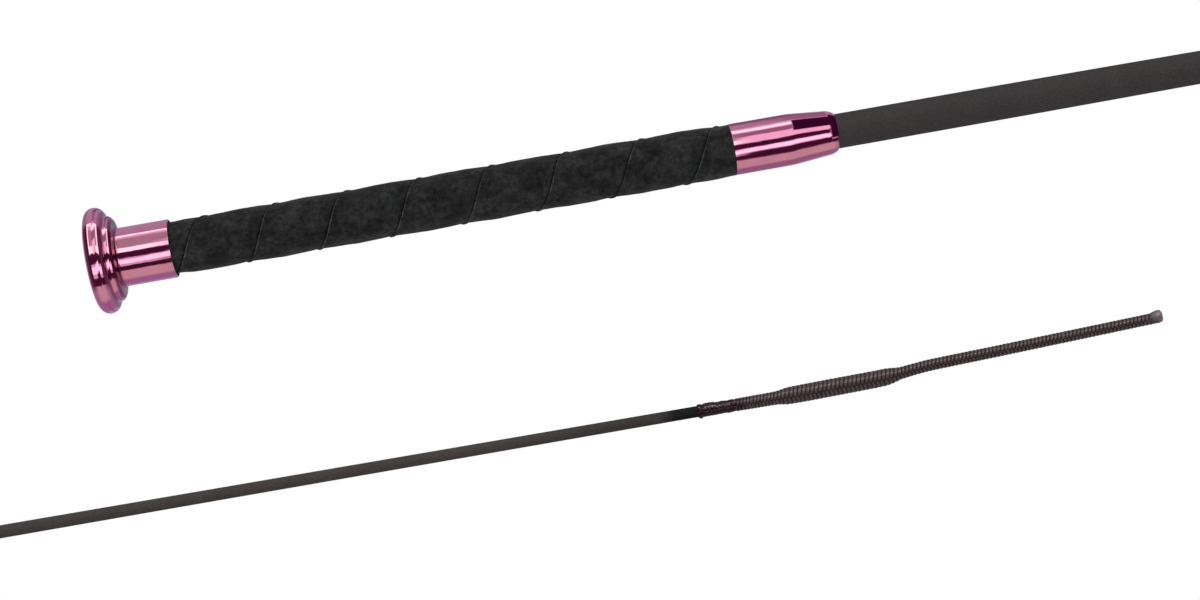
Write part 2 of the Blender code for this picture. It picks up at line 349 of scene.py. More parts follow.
def make_piece(name, shells, material, is_ring=False, sharp_deg=35.0, values=None):
    """One object from shells of points (rows, columns, 3); values holds arrays over its points, by name."""
    points, faces, first = [], [], 0
    for shell in shells:
        rows, columns = shell.shape[:2]
        faces += shell_faces(rows, columns, first, is_ring)
        points.append(shell.reshape(-1, 3))
        first += rows * columns
    points = np.concatenate(points)
    mesh = bpy.data.meshes.new(name)
    mesh.from_pydata(points.tolist(), [], faces)
    for key, array in (values or {}).items():
        attribute = mesh.attributes.new(key, "FLOAT", "POINT")
        attribute.data.foreach_set("value", np.asarray(array, np.float32).ravel())
    return finish_piece(name, mesh, material, sharp_deg)


def close_mesh(bm, mesh, sharp_deg):
    """Writes a bmesh back with its faces turned outwards and shaded smooth up to an angle."""
    bmesh.ops.recalc_face_normals(bm, faces=bm.faces)
    bm.to_mesh(mesh)
    bm.free()
    mesh.shade_smooth()
    mesh.set_sharp_from_angle(angle=math.radians(sharp_deg))


def add_object(name, data):
    item = bpy.data.objects.new(name, data)
    bpy.context.scene.collection.objects.link(item)
    return item


def finish_piece(name, mesh, material, sharp_deg):
    """Notes each point's place at rest for the materials, and adds the object."""
    bm = bmesh.new()
    bm.from_mesh(mesh)
    close_mesh(bm, mesh, sharp_deg)
    rest = mesh.attributes.new("rest", "FLOAT_VECTOR", "POINT")
    places = np.zeros(len(mesh.vertices) * 3, np.float32)
    mesh.vertices.foreach_get("co", places)
    rest.data.foreach_set("vector", places)
    mesh.materials.append(material)
    return add_object(name, mesh)


def attach(piece, body, node):
    """Lets a piece ride a body and take the place of a CAD node."""
    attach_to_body(piece, body)
    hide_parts(node)


def around_x(xs, radii, angles):
    """Points round the X axis."""
    xs, radii, angles = np.broadcast_arrays(xs, radii, angles)
    return np.stack([xs, -radii * np.cos(angles), radii * np.sin(angles)], axis=2)


def turned(name, outline, material, sides, is_ring):
    """A body turned about X. A ring's outline closes on itself; otherwise its two ends are flat faces."""
    angles = round_angles(sides)
    xs = np.array([p[0] for p in outline])[:, None]
    radii = np.array([p[1] for p in outline])[:, None]
    return make_piece(name, [around_x(xs, radii, angles)], material, is_ring)


# ---------- Turned metal ----------


def collar_end():
    """Where the cap's collar ends, which is where the visible grip starts."""
    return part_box("end_cap")[1].x - COLLAR_SHORTER


def make_end_cap(material):
    start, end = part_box("end_cap")[0].x, collar_end()
    recess = end - COLLAR_RECESS_DEPTH
    ring = arc(start + CAP_RING_SECTION_R, CAP_RING_CENTRE_R, CAP_RING_SECTION_R, 180, -1, 44)
    bead = arc(CAP_BEAD_X, CAP_BEAD_CENTRE_R, CAP_BEAD_SECTION_R, 88, 0, 24)
    fillet_x = bead[-1][0] + CAP_FILLET_GAP + COLLAR_FILLET
    fillet = arc(fillet_x, COLLAR_R + COLLAR_FILLET, COLLAR_FILLET, 180, 270, 10)
    edge = arc(end - METAL_EDGE, COLLAR_R - METAL_EDGE, METAL_EDGE, 90, 0, 6)
    inside = [(end, COLLAR_RECESS_R), (recess, COLLAR_RECESS_R), (recess, BORE_R), (CAP_BORE_BOTTOM, BORE_R)]
    piece = turned("turned_end_cap", ring + bead + fillet + edge + inside, material, METAL_SIDES, False)
    attach(piece, "whip", "end_cap")


def make_ferrule(material):
    low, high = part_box("ferrule")
    start, end, radius = low.x, high.x, high.z
    nose_start = end - FERRULE_NOSE_LENGTH
    taper_start = nose_start - FERRULE_TAPER_LENGTH
    edge = arc(start + METAL_EDGE, radius - METAL_EDGE, METAL_EDGE, 180, 90, 6)
    body_x = np.linspace(taper_start - FERRULE_ROUND_BEFORE, nose_start, 26)
    lean = (radius - FERRULE_NOSE_R) / FERRULE_TAPER_LENGTH
    past = body_x - taper_start
    drop = 0.5 * (past + np.sqrt(past**2 + FERRULE_ROUND**2)) * lean
    body = list(zip(body_x, radius - drop))
    turn = np.radians(np.linspace(FERRULE_NOSE_STEEPEST_DEG, 0.0, 24))
    nose_x = nose_start + FERRULE_NOSE_LENGTH * np.cos(turn) ** NOSE_ROUNDNESS
    nose_height = FERRULE_NOSE_R - FERRULE_MOUTH_R
    nose = list(zip(nose_x, FERRULE_MOUTH_R + nose_height * np.sin(turn) ** NOSE_ROUNDNESS))
    lip, mouth, cone = FERRULE_MOUTH_DEPTHS
    inside = [
        (end - lip, FERRULE_MOUTH_R),
        (end - mouth, FERRULE_MOUTH_R),
        (end - cone, BORE_R),
        (start, BORE_R),
    ]
    piece = turned("turned_ferrule", edge + body + nose + inside, material, METAL_SIDES, True)
    attach(piece, "whip", "ferrule")


# ---------- Suede strip ----------


def strip_edge_x(turn):
    """Where the strip's visible edge is, by turns. It wanders a little, as a strip wound by hand does."""
    plain = STRIP_SEAM_AT_TOP + (turn - TOP_TURN) * STRIP_PITCH
    along = np.clip((plain - STRIP_SEAM_AT_TOP) / (STRIP_WANDER_TURNS * STRIP_PITCH), 0.0, 1.0)
    jitter = STRIP_JITTER * ripple(turn * 2.6, 5) + STRIP_FRAY * ripple(turn * 31.0, 8)
    return plain - STRIP_WANDER * np.sin(math.pi * along) + jitter


def strip_section():
    """Places across the strip: close together at the lip and at the tail, wider apart on the pillow."""
    width = STRIP_PITCH + STRIP_OVERLAP
    lip = np.linspace(0.0, 2.8 * MM, 16)
    pillow = np.linspace(3.3 * MM, width - 4.6 * MM, 28)
    tail = np.linspace(width - 4.2 * MM, width, 14)
    return np.concatenate([lip, pillow, tail])


def strip_radii(turns, across, xs, grip_end):
    """The strip's outer and inner radius. It swells and lumps on its pillow and dips at the grip's ends."""
    swell = 1.0 + STRIP_SWELL * ripple(turns * 2.1 + across * 180.0, 21)
    lump = STRIP_LUMP * ripple(turns * 9.0 + across * 420.0, 33)
    dip = STRIP_END_DIP * smoothstep(xs, grip_end - STRIP_END_DIP_LENGTH, grip_end)
    dip = dip + STRIP_START_DIP * smoothstep(-xs, -collar_end() - STRIP_START_DIP_LENGTH, -collar_end())
    inner = STRIP_INSIDE_R + curve(across, STRIP_INSIDE) - np.minimum(dip, STRIP_INSIDE_DIP)
    inner = np.maximum(inner, STRIP_INSIDE_R - STRIP_INSIDE_LOWEST)
    pillow = smoothstep(across, 1.4 * MM, 4.0 * MM) * (1.0 - smoothstep(across, 17.0 * MM, 20.5 * MM))
    outside = curve(across, STRIP_OUTSIDE) * (1.0 + (swell - 1.0) * pillow)
    outer = STRIP_LEVEL_R + outside + lump * pillow - dip
    return np.maximum(outer, inner + STRIP_LEAST_WALL), inner


def make_grip_strip(material):
    low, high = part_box("grip_strip")
    first = (low.x - STRIP_SEAM_AT_TOP) / STRIP_PITCH + TOP_TURN - STRIP_TURNS_BEFORE
    last = (high.x - STRIP_SEAM_AT_TOP) / STRIP_PITCH + TOP_TURN + STRIP_TURNS_AFTER
    turns = np.linspace(first, last, round((last - first) * STRIP_STEPS_PER_TURN))[:, None]
    across = strip_section()
    edge_x = strip_edge_x(turns)
    # Where the winding runs tight the turns are narrower, so the section is scaled to reach the next edge
    room = strip_edge_x(turns + 1.0) - edge_x
    xs = edge_x + across * room / STRIP_PITCH
    outer, inner = strip_radii(turns, across, xs, high.x)
    xs = np.concatenate([xs, xs[:, ::-1]], axis=1)
    radii = np.concatenate([outer, inner[:, ::-1]], axis=1)
    shell = around_x(xs, radii, turns * math.tau)
    none = 0.0 * across
    raw = np.concatenate([1.0 - smoothstep(across, 0.05 * MM, 0.38 * MM), none])
    # Painted shadow, with some dirt, on the strip just before each seam, under the next turn's edge
    painted_seam_shadow = np.concatenate([smoothstep(across, STRIP_PITCH - 0.9 * MM, STRIP_PITCH - 0.2 * MM), none])
    values = {"raw_edge": np.tile(raw, len(turns)), "painted_seam_shadow": np.tile(painted_seam_shadow, len(turns))}
    piece = make_piece("wound_suede_strip", [shell], material, values=values)
    trim(piece.data, low.x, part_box("ferrule")[0].x - STRIP_TO_FERRULE)
    attach(piece, "whip", "grip_strip")


def trim(mesh, start, end):
    """Cuts a mesh square at two places along X and closes the cuts."""
    bm = bmesh.new()
    bm.from_mesh(mesh)
    for place, outwards in ((start, -1.0), (end, 1.0)):
        geometry = bm.verts[:] + bm.edges[:] + bm.faces[:]
        cut = bmesh.ops.bisect_plane(
            bm,
            geom=geometry,
            dist=1e-7,
            plane_co=(place, 0.0, 0.0),
            plane_no=(outwards, 0.0, 0.0),
            clear_outer=True,
        )
        edges = [g for g in cut["geom_cut"] if isinstance(g, bmesh.types.BMEdge)]
        bmesh.ops.holes_fill(bm, edges=edges, sides=0)
    close_mesh(bm, mesh, 50.0)


# ---------- Shaft and binding ----------


def make_shaft(material):
    low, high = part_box("shaft_cover")
    xs = np.linspace(low.x, high.x, SHAFT_RINGS)
    radii = curve(xs, SHAFT_RADII)
    outline = list(zip(xs, radii)) + list(zip(xs[::-1], radii[::-1] - SHAFT_WALL))
    piece = turned("woven_shaft_cover", outline, material, SHAFT_SIDES, True)
    attach(piece, "whip", "shaft_cover")


def tube_round(centres, across, outwards, half_width, half_height, sides):
    """Points of a tube with an oval section, given its centre line and two directions across it."""
    turn = round_angles(sides)
    wide = half_width[:, None, None] * np.cos(turn)[None, :, None] * across[:, None, :]
    high = half_height * np.sin(turn)[None, :, None] * outwards[:, None, :]
    return centres[:, None, :] + wide + high


def binding_radius(along, angle, length):
    """The binding's outside: thread in lacquer, with soft ridges and lumps, a knot, a groove and a swell."""
    ridge = np.cos(math.tau * along / THREAD_PITCH - angle)
    around = np.sin(angle + 0.7) + 0.6 * np.sin(2.0 * angle + 2.1)
    lump = ripple(along * 1500.0 + 1.3 * np.sin(angle), 41) + 0.5 * around * ripple(along * 900.0, 43)
    first_wraps = 1.0 - smoothstep(along, BINDING_KNOT_LENGTH, BINDING_KNOT_LENGTH + 0.6 * MM)
    from_knot = ((along - KNOT_X) / KNOT_SIZE) ** 2 + ((angle - KNOT_ANGLE) / KNOT_SPREAD) ** 2
    from_swell = ((along - SWELL_X) / SWELL_SIZE) ** 2 + ((angle - SWELL_ANGLE) / KNOT_SPREAD) ** 2
    groove = np.exp(-(((along - GROOVE_X) / GROOVE_SIZE) ** 2))
    radius = BINDING_R + BINDING_RIDGE * ridge + BINDING_LUMP * lump - BINDING_GROOVE * groove
    knots = 0.35 * first_wraps + np.exp(-from_knot) + 0.85 * np.exp(-from_swell)
    height = radius + BINDING_KNOT * knots - BINDING_FLOOR_R
    # Both ends round off towards what they are wound on
    from_end = np.minimum(along, length - along)
    return BINDING_FLOOR_R + height * np.sqrt(smoothstep(from_end, -BINDING_END_STEP, BINDING_END_ROUND))


def make_binding(material):
    low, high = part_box("binding")
    start = low.x - BINDING_LAP
    x = np.linspace(start, high.x, BINDING_RINGS)[:, None]
    angle = round_angles(BINDING_SIDES)[None, :]
    outside = around_x(x, binding_radius(x - start, angle, high.x - start), angle)
    inside = around_x(x, BINDING_INSIDE_R, angle)
    shell = np.concatenate([outside, inside[::-1]])
    piece = make_piece("thread_binding", [shell], material, is_ring=True, sharp_deg=80.0)
    attach(piece, "whip", "binding")


# ---------- Braided cord ----------


class CordPath:
    """The cord's centre line at rest. It leans up more at each hinge and steps up where it gets thin."""

    def __init__(self, hinges, end):
        self.first_hinge = hinges[0].x
        low = [(0.0, 0.0), (hinges[0].x, hinges[0].z)]
        low += [(hinge.x, hinge.z - CORD_RISE) for hinge in hinges[1:]] + [(end.x, end.y - CORD_RISE)]
        self.xs = np.linspace(hinges[0].x - PATH_BEFORE, end.x, PATH_STEPS)
        heights = np.interp(self.xs, [knot[0] for knot in low], [knot[1] for knot in low])
        before = np.full(PATH_SMOOTHING, heights[0])
        after = heights[-1] + (heights[-1] - heights[-2]) * np.arange(1, PATH_SMOOTHING + 1)
        window = np.hanning(2 * PATH_SMOOTHING + 1)
        smooth = np.convolve(np.concatenate([before, heights, after]), window / window.sum(), mode="valid")
        step = smoothstep(self.xs, hinges[1].x - CORD_RISE_BEFORE, hinges[1].x + CORD_RISE_AFTER)
        self.heights = smooth + CORD_RISE * step
        self.slopes = np.gradient(self.heights, self.xs)

    def frame(self, x):
        """Centre, direction along the cord and the direction that points up across it."""
        height = np.interp(x, self.xs, self.heights)
        slope = np.interp(x, self.xs, self.slopes)
        size = np.sqrt(1.0 + slope**2)
        none = 0.0 * x
        centre = np.stack([x, none, height], axis=-1)
        along = np.stack([1.0 / size, none, slope / size], axis=-1)
        up = np.stack([-slope / size, none, 1.0 / size], axis=-1)
        return centre, along, up

    def round_points(self, x, turn, radius):
        """Points round the centre line at places x and angles turn; radius has a row for each place."""
        centre, _, up = self.frame(x)
        ring = np.cos(turn)[None, :, None] * FRONT + np.sin(turn)[None, :, None] * up[:, None, :]
        return centre[:, None, :] + radius[:, :, None] * ring


def braid_turns(at):
    """Turns that a strand makes round the cord up to a distance from the first hinge."""
    grid = np.linspace(BRAID_LAYS[0][0], BRAID_LAYS[-1][0], 2000)
    turns = np.cumsum(np.diff(grid) / curve(0.5 * (grid[1:] + grid[:-1]), BRAID_LAYS))
    return np.interp(at, grid, np.concatenate([[0.0], turns]))


def braid_strand(path, start, end, way, number):
    """One strand from start to end, and its values for the material.

    way is 1 or -1, for the two directions round the cord. A strand goes over two others and then under two.
    """
    turns = braid_turns(end - path.first_hinge) - braid_turns(start - path.first_hinge)
    x = np.linspace(start, end, round(turns * BRAID_STEPS_PER_TURN) + 1)
    from_hinge = x - path.first_hinge
    lay = curve(from_hinge, BRAID_LAYS)
    own_angle = number * math.tau / STRANDS_EACH_WAY + (0.0 if way > 0 else math.tau / 8.0)
    angle = way * math.tau * braid_turns(from_hinge) + own_angle + BRAID_TURN
    weave = np.sin(2.0 * (angle - BRAID_TURN))
    over = way * weave / np.sqrt(weave**2 + WEAVE_SOFTNESS**2)
    middle = curve(from_hinge, CORD_OUTSIDE) - STRAND_HALF_THICKNESS - STRAND_WEAVE
    middle = middle + STRAND_UNEVEN * ripple(x * 900.0 + 7.0 * number, 80 + number)
    radius = middle + STRAND_WEAVE * over
    centre, along, up = path.frame(x)
    out = np.cos(angle)[:, None] * FRONT + np.sin(angle)[:, None] * up
    round_cord = -np.sin(angle)[:, None] * FRONT + np.cos(angle)[:, None] * up
    speed = way * math.tau * middle / lay
    direction = along + speed[:, None] * round_cord
    direction /= np.linalg.norm(direction, axis=1)[:, None]
    across = np.cross(out, direction)
    steepness = np.abs(speed) / np.sqrt(1.0 + speed**2)
    half_width = 0.5 * STRAND_COVER * lay / STRANDS_EACH_WAY * steepness
    centre = centre + radius[:, None] * out
    shell = tube_round(centre, across, out, half_width, STRAND_HALF_THICKNESS, STRAND_SIDES)
    # Angle 0 of the section is at its side; run and spread lie along and across the strand, for its filaments
    side = round_angles(STRAND_SIDES)
    # How open to the light a point is: most on top where the strand goes over, least at its sides and under
    on_top = 0.1 + 0.9 * np.maximum(np.sin(side), 0.0) ** 2
    values = {
        "run": np.repeat(x[:, None], STRAND_SIDES, axis=1),
        "spread": np.cos(side)[None, :] * half_width[:, None],
        "shade": np.full(shell.shape[:2], number + (0.0 if way > 0 else STRANDS_EACH_WAY)),
        "open": 0.5 * (1.0 + over)[:, None] * on_top[None, :],
    }
    return shell, values


def make_braid(name, path, span, material):
    numbers = range(STRANDS_EACH_WAY)
    strands = [braid_strand(path, *span, way, number) for way in (1, -1) for number in numbers]
    shells = [shell for shell, _ in strands]
    values = {key: np.concatenate([own[key].ravel() for _, own in strands]) for key in strands[0][1]}
    return make_piece(name, shells, material, sharp_deg=80.0, values=values)


def make_core(name, path, span, material):
    """The yarns that fill the cord, as one round bundle just inside the strands."""
    start, end = span
    x = np.linspace(start, end, max(4, round((end - start) / (1.0 * MM))))
    radius = curve(x - path.first_hinge, CORD_OUTSIDE) - 2.0 * STRAND_HALF_THICKNESS - 1.6 * STRAND_WEAVE
    turn = round_angles(CORE_SIDES)
    return make_piece(name, [path.round_points(x, turn, radius[:, None])], material, sharp_deg=80.0)


def make_lash(frame, materials):
    """The cord in four lengths that meet halfway between hinges; at rest its centre line bends smoothly at
    each hinge.
    """
    hinges = [Vector(joint["pos_m"]) for joint in frame["joints"]]
    bodies = [frame["joints"][0]["parent"]] + [joint["child"] for joint in frame["joints"]]
    end_low, end_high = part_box("lash_fused_end")
    end = Vector((end_high.x, 0.5 * (end_low.z + end_high.z)))
    path = CordPath(hinges, end)
    middles = [0.5 * (a.x + b.x) for a, b in zip(hinges, hinges[1:])]
    cord_cuts = [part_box("lash_root")[0].x + CORD_START_INSIDE] + middles + [end.x - CORD_END_INSIDE]
    core_cuts = [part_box("rod_tip_cap")[1].x + CORE_START_GAP] + middles + [end.x - CORE_END_INSIDE]
    cords = [["lash_root", "lash_body"], ["lash_tail_1"], ["lash_tail_2"], ["lash_tail_3"]]
    for i, hinge in enumerate(hinges):
        braid = make_braid(f"lash_braid_{i + 1}", path, cord_cuts[i : i + 2], materials["cord"])
        core = make_core(f"lash_core_{i + 1}", path, core_cuts[i : i + 2], materials["core"])
        core_node = f"{cords[i][-1]}_core"
        for piece, nodes, slot in ((braid, cords[i], "braided_cord"), (core, [core_node], "core_yarn")):
            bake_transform(piece)
            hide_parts(*nodes)
    make_fused_end(path, end, bodies[-1], materials["melted"])


def make_fused_end(path, end, body, material):
    """The cord's melted end: it flares, more to the top than to the bottom, and its face is uneven."""
    t = np.linspace(0.0, 1.0, FUSED_RINGS)
    x = end.x - FUSED_LENGTH * (1.0 - t)
    turn = round_angles(FUSED_SIDES)
    flare = smoothstep(t, 0.15, 0.80)
    close = np.sqrt(np.clip(1.0 - np.clip((t - 0.90) / 0.10, 0.0, 1.0) ** 2 * 0.45, 0.0, 1.0))
    top = 0.5 + 0.5 * np.sin(turn)
    radius = FUSED_R + flare[:, None] * (0.12 + 0.62 * top[None, :]) * MM
    crinkle = FUSED_CRINKLE * ripple(turn[None, :] * 3.0 + t[:, None] * 9.0, 91)
    crinkle = crinkle + FUSED_RIB * np.sin(8.0 * turn)[None, :] * (1.0 - flare[:, None])
    shell = path.round_points(x, turn, (radius + crinkle) * close[:, None])
    piece = make_piece("melted_cord_end", [shell], material, sharp_deg=60.0)
    attach(piece, body, "lash_fused_end")


# ---------- Materials ----------


class Tree:
    """Short calls for building a node tree. A value is a number, three numbers or another node's output."""

    def __init__(self, tree, owner=None):
        self.tree = tree
        self.owner = owner

    def feed(self, socket, value):
        if isinstance(value, bpy.types.NodeSocket):
            self.tree.links.new(value, socket)
        elif socket.type == "RGBA":
            socket.default_value = (*value, 1.0)
        else:
            socket.default_value = value

    def node(self, kind, inputs=None, **settings):
        made = self.tree.nodes.new("ShaderNode" + kind)
        for key, value in settings.items():
            setattr(made, key, value)
        for key, value in (inputs or {}).items():
            self.feed(made.inputs[key], value)
        return made

    def math(self, operation, *values):
        made = self.node("Math", operation=operation)
        for socket, value in zip(made.inputs, values):
            self.feed(socket, value)
        return made.outputs[0]

    def times(self, product, *factors):
        for factor in factors:
            product = self.math("MULTIPLY", product, factor)
        return product

    def plus(self, a, b):
        return self.math("ADD", a, b)

    def minus(self, a, b):
        return self.math("SUBTRACT", a, b)

    def smooth(self, value, low, high, to_low=0.0, to_high=1.0):
        inputs = {"Value": value, "From Min": low, "From Max": high, "To Min": to_low, "To Max": to_high}
        return self.node("MapRange", inputs, interpolation_type="SMOOTHSTEP").outputs["Result"]

    def between(self, value, low, high, soft):
        """1 where the value lies between two limits, with soft edges."""
        above = self.smooth(value, low - soft, low + soft)
        return self.times(above, self.smooth(value, high - soft, high + soft, 1.0, 0.0))

    def stretch(self, coords, factors):
        made = self.node("VectorMath", operation="MULTIPLY")
        self.feed(made.inputs[0], coords)
        self.feed(made.inputs[1], factors)
        return made.outputs[0]

    def parts(self, vector):
        return self.node("SeparateXYZ", {"Vector": vector}).outputs

    def noise(self, coords, size, detail=2.0, roughness=0.55):
        inputs = {"Vector": coords, "Scale": 1.0 / size, "Detail": detail, "Roughness": roughness}
        return self.node("TexNoise", inputs).outputs["Fac"]

    def mix(self, factor, a, b, blend_type="MIX"):
        made = self.node("Mix", data_type="RGBA", blend_type=blend_type)
        self.feed(made.inputs["Factor"], factor)
        self.feed(made.inputs[6], a)
        self.feed(made.inputs[7], b)
        return made.outputs[2]

    def scale_colour(self, colour, factor):
        made = self.node("VectorMath", operation="SCALE")
        self.feed(made.inputs[0], colour)
        self.feed(made.inputs["Scale"], factor)
        return made.outputs[0]

    def attribute(self, name, kind="GEOMETRY"):
        return self.node("Attribute", attribute_type=kind, attribute_name=name).outputs

    def rest(self):
        """Each point's place at rest."""
        return self.attribute("rest")["Vector"]

    def ramp(self, value, stops):
        made = self.node("ValToRGB", {"Fac": value})
        elements = made.color_ramp.elements
        elements.remove(elements[1])
        for i, (place, colour) in enumerate(stops):
            element = elements[0] if i == 0 else elements.new(place)
            element.position = place
            element.color = (*colour, 1.0)
        return made.outputs["Color"]

    def bump(self, height, distance):
        """A bump of a real height in metres, on the crop itself and on its scaled copy alike."""
        scale = self.math("MAXIMUM", self.attribute(COPY_SCALE_PROPERTY, "INSTANCER")["Fac"], 1.0)
        inputs = {"Height": height, "Distance": self.times(scale, distance), "Strength": 1.0}
        return self.node("Bump", inputs).outputs["Normal"]

    def surface(self, **inputs):
        """Feeds the material's shader and gives the material. In a name, an underscore stands for a space."""
        for key, value in inputs.items():
            self.feed(self.tree.nodes["Principled BSDF"].inputs[key.replace("_", " ")], value)
        return self.owner


def new_material(name):
    """The node tree of a new material, to be finished by its surface()."""
    material = bpy.data.materials.new(name)
    material.use_nodes = True
    return Tree(material.node_tree, material)


def round_angle(tree, place):
    """The place along the X axis, and the angle round it in radians."""
    x, y, z = tree.parts(place)
    return x, tree.math("ARCTAN2", z, y)


def anodised_metal():
    tree = new_material("pink_anodised_aluminium")
    rest = tree.rest()
    wave = tree.noise(tree.stretch(rest, (0.35, 1.0, 1.0)), 2.6 * MM, 2.0)
    lathe = tree.noise(tree.stretch(rest, (1.0, 0.06, 0.06)), 0.12 * MM, 2.0)
    x, _, _ = tree.parts(rest)
    wave = tree.times(wave, tree.smooth(x, 0.0, 0.8 * MM))
    height = tree.plus(wave, tree.times(lathe, 0.012))
    cloud = tree.smooth(tree.noise(rest, 7.0 * MM, 3.0), 0.3, 0.7)
    pink = tree.mix(cloud, (0.91, 0.355, 0.54), (0.95, 0.385, 0.57))
    # Painted reflection: where the ferrule would mirror something dark, the base colour turns dark wine and
    # the metal stops being metallic
    shade = painted_dark_reflection(tree, rest)
    colour = tree.mix(shade, pink, (0.032, 0.0012, 0.019))
    # Painted shade: the grooves before and behind the bead are darkened in the base colour, for the darker
    # reflections that a groove makes of itself
    before = tree.between(x, CAP_BEAD_X - 0.35 * MM, CAP_BEAD_X + 0.1 * MM, 0.25 * MM)
    behind = tree.between(x, CAP_BEAD_X + 1.4 * MM, CAP_BEAD_X + 2.9 * MM, 0.4 * MM)
    groove = tree.times(tree.plus(before, behind), 0.72)
    return tree.surface(
        Base_Color=tree.mix(groove, colour, (0.12, 0.01, 0.05)),
        Metallic=tree.minus(1.0, shade),
        Specular_IOR_Level=0.0,
        Roughness=tree.smooth(tree.noise(rest, 3.0 * MM, 4.0), 0.3, 0.75, 0.045, 0.075),
        Normal=tree.bump(height, 0.035 * MM),
    )


def painted_dark_reflection(tree, rest):
    """1 where a dark reflection is painted on the ferrule, as if it mirrored something dark close by: on its
    taper's upper part, and on its nose.
    """
    ferrule_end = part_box("ferrule")[1].x
    x, _, _ = tree.parts(rest)
    wavy = tree.plus(x, tree.times(tree.noise(rest, 0.9 * MM), SHADE_WAVE))
    place, _ = mirror_place(tree, tree.node("TexCoord").outputs["Reflection"])
    upper = tree.between(place, studio_place(-92), studio_place(-36), 0.006)
    start = ferrule_end - SHADE_LENGTH
    taper = tree.smooth(wavy, start - SHADE_EDGE, start + SHADE_EDGE)
    front = tree.between(place, studio_place(-112), studio_place(34), 0.02)
    nose = tree.smooth(wavy, ferrule_end - NOSE_SHADE_START, ferrule_end - NOSE_SHADE_FULL)
    return tree.math("MAXIMUM", tree.times(upper, taper), tree.times(front, nose))


def suede():
    tree = new_material("black_suede")
    rest = tree.rest()
    cloud = tree.noise(tree.stretch(rest, (0.8, 1.0, 1.0)), 5.0 * MM, 3.0, 0.6)
    blotch = tree.noise(rest, 1.5 * MM, 3.0, 0.6)
    nap = tree.noise(rest, 0.32 * MM, 3.0, 0.7)
    lint = tree.smooth(tree.noise(rest, 0.50 * MM, 2.0, 0.5), 0.66, 0.80)
    shade = tree.times(
        tree.smooth(cloud, 0.32, 0.70, 0.60, 1.48),
        tree.smooth(blotch, 0.30, 0.70, 0.64, 1.42),
        tree.smooth(nap, 0.25, 0.75, 0.68, 1.34),
    )
    shade = tree.plus(shade, tree.times(lint, 0.75))
    # Painted shadow, with some dirt, darkens the suede just before each seam
    painted_seam_shadow = tree.times(tree.attribute("painted_seam_shadow")["Fac"], -0.70)
    shade = tree.times(shade, tree.plus(1.0, painted_seam_shadow))
    patch = tree.smooth(tree.noise(rest, 9.0 * MM, 1.0), 0.35, 0.65)
    black = tree.mix(patch, (0.0134, 0.0145, 0.0138), (0.0141, 0.0142, 0.0139))
    # The raw edge shows pale where it is worn
    worn = tree.times(
        tree.smooth(nap, 0.30, 0.62, 0.15, 1.0),
        tree.smooth(blotch, 0.36, 0.58, 0.4, 1.0),
        tree.smooth(tree.noise(rest, 5.5 * MM, 1.0), 0.38, 0.58, 0.22, 1.0),
    )
    edge = tree.times(tree.attribute("raw_edge")["Fac"], worn)
    return tree.surface(
        Base_Color=tree.mix(edge, tree.scale_colour(black, shade), (0.105, 0.107, 0.106)),
        Roughness=0.95,
        Specular_IOR_Level=0.03,
        Sheen_Weight=0.05,
        Sheen_Roughness=0.5,
        Normal=tree.bump(tree.plus(nap, tree.times(blotch, 1.2)), 0.10 * MM),
    )


def woven_cover():
    tree = new_material("dark_woven_cover")
    rest = tree.rest()
    x, angle = round_angle(tree, rest)
    along = tree.times(x, math.tau / YARN_SPACING)
    across = tree.times(angle, YARNS_ROUND)
    one = tree.math("SINE", tree.plus(along, across))
    other = tree.math("SINE", tree.minus(along, across))
    weave = tree.times(one, other)
    grain = tree.noise(tree.stretch(rest, (0.5, 1.0, 1.0)), 0.45 * MM, 3.0, 0.65)
    cloud = tree.noise(rest, 9.0 * MM, 2.0)
    shade = tree.times(
        tree.plus(1.0, tree.times(weave, 0.13)),
        tree.smooth(grain, 0.28, 0.72, 0.84, 1.18),
        tree.smooth(cloud, 0.3, 0.7, 0.95, 1.05),
    )
    thin = tree.smooth(x, 0.55, 1.00)
    toward_tip = tree.smooth(x, 1.005, 1.050)
    thin_colour = tree.mix(toward_tip, (0.0525, 0.0435, 0.0410), (0.0395, 0.0340, 0.0325))
    base = tree.mix(thin, (0.0358, 0.0308, 0.0316), thin_colour)
    binding_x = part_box("binding")[0].x
    soaked = tree.plus(x, tree.times(tree.noise(rest, 2.0 * MM), 3.0 * MM))
    stain = tree.smooth(soaked, binding_x - 11.5 * MM, binding_x - 4.5 * MM)
    base = tree.mix(stain, base, (0.0068, 0.0066, 0.0056))
    colour = tree.scale_colour(base, shade)
    return tree.surface(
        Base_Color=colour,
        Roughness=0.72,
        Specular_IOR_Level=0.08,
        Normal=tree.bump(tree.plus(weave, grain), 0.018 * MM),
    )


def lacquered_thread():
    tree = new_material("lacquered_thread")
    rest = tree.rest()
    blot = tree.noise(rest, 1.1 * MM, 3.0)
    fine = tree.noise(rest, 0.35 * MM, 3.0)
    edge_on = tree.node("LayerWeight", {"Blend": 0.5}).outputs["Facing"]
    colour = tree.mix(tree.smooth(blot, 0.35, 0.68), (0.0060, 0.0012, 0.0028), (0.020, 0.0045, 0.0095))
    return tree.surface(
        Base_Color=colour,
        Roughness=tree.smooth(blot, 0.3, 0.7, 0.10, 0.22),
        Specular_IOR_Level=tree.smooth(edge_on, 0.25, 0.75, 0.34, 0.04),
        Specular_Tint=(1.0, 0.76, 0.86),
        Normal=tree.bump(tree.plus(blot, tree.times(fine, 0.4)), 0.06 * MM),
    )


